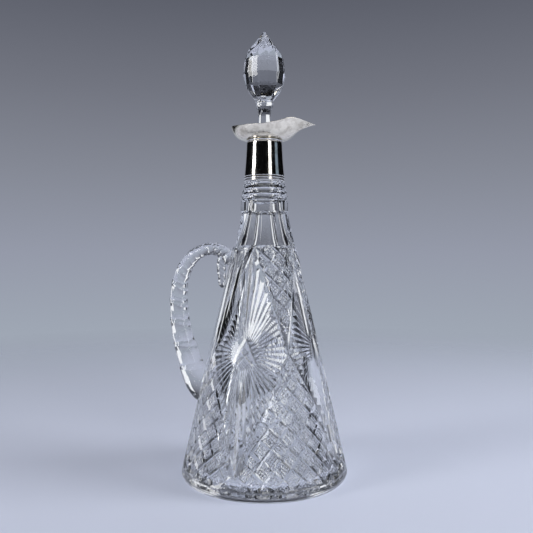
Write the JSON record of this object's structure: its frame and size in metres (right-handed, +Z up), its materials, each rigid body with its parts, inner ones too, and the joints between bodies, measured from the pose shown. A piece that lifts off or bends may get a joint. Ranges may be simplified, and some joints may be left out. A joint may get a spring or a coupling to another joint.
{
  "type": "silver-mounted claret decanter",
  "caption": "Conical cut crystal decanter with an applied loop handle, a silver collar with a pouring lip, and a faceted glass stopper that lifts out.",
  "frame": {"origin": "centre of the flat underside that the decanter stands on", "axes": "+Z up along the decanter's axis, +X from the axis towards the pouring spout, -X towards the handle"},
  "size_m": [0.1429, 0.125, 0.3328],
  "materials": {
    "crystal": "cut and polished lead crystal",
    "silver": "polished sterling silver with light scratches",
    "lip_silver": "polished sterling silver, lightly scratched and tarnished",
    "liner_silver": "satin silver",
    "plaster": "matt"
  },
  "bodies": {
    "decanter": {"glass_body": "crystal", "glass_handle": "crystal", "collar_sleeve": "silver", "collar_foot_wire": "silver", "collar_top_wire": "silver", "pouring_lip": "lip_silver", "throat_liner": "liner_silver", "collar_plaster": "plaster"},
    "stopper": {"stopper": "crystal"}
  },
  "joints": [
    {"name": "stopper_lift", "type": "slide", "parent": "decanter", "child": "stopper", "axis": [0, 0, 1], "range_m": [0, 0.05]}
  ]
}
